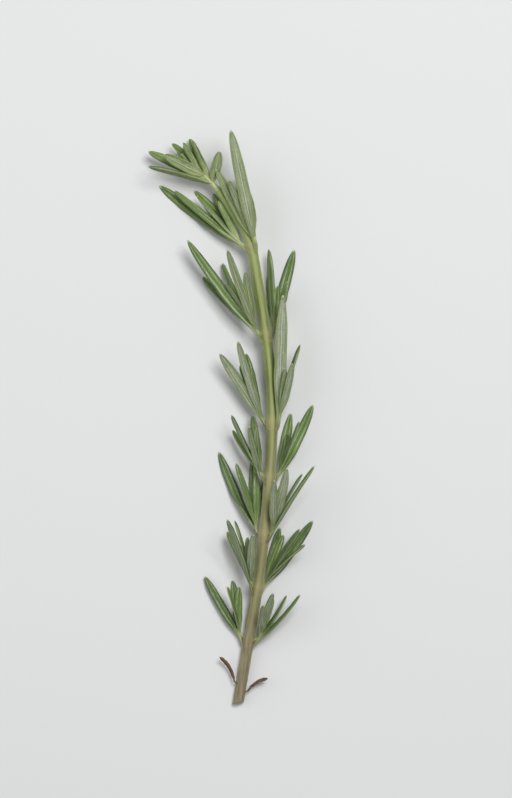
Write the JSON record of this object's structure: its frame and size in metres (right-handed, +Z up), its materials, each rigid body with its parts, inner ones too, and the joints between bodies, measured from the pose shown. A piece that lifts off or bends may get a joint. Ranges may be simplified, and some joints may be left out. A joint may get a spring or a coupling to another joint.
{
  "type": "rosemary sprig",
  "caption": "Cut rosemary sprig lying flat: a curved stem with opposite clusters of narrow leaves, a leafy tip and a bare cut end.",
  "frame": {"origin": "under the middle of the sprig's bounding box, on the surface that it lies on", "axes": "+Y along the sprig from its cut end to its tip, +Z up from the surface, +X to the right seen from above with the tip away"},
  "size_m": [0.0474, 0.161, 0.0188],
  "materials": {
    "stem": "matt, finely ridged and downy, yellow-green, browner towards the cut",
    "leaf": "satin green upper face with a groove, pale grey-green felted underside with a raised midrib",
    "withered_leaf": "dry, dull brown"
  },
  "bodies": {
    "root": {"stem": "stem", "leaf_cluster_1_left": "leaf", "leaf_cluster_1_right": "leaf", "leaf_cluster_2_left": "leaf", "leaf_cluster_2_right": "leaf", "leaf_cluster_3_left": "leaf", "leaf_cluster_3_right": "leaf", "leaf_cluster_4_left": "leaf", "leaf_cluster_4_right": "leaf", "leaf_cluster_5_left": "leaf", "leaf_cluster_5_right": "leaf", "leaf_cluster_6_left": "leaf", "leaf_cluster_6_right": "leaf", "leaf_cluster_7_left": "leaf", "leaf_cluster_7_right": "leaf", "shoot_tip": "leaf", "withered_leaf_left": "withered_leaf", "withered_leaf_right": "withered_leaf"}
  },
  "joints": []
}
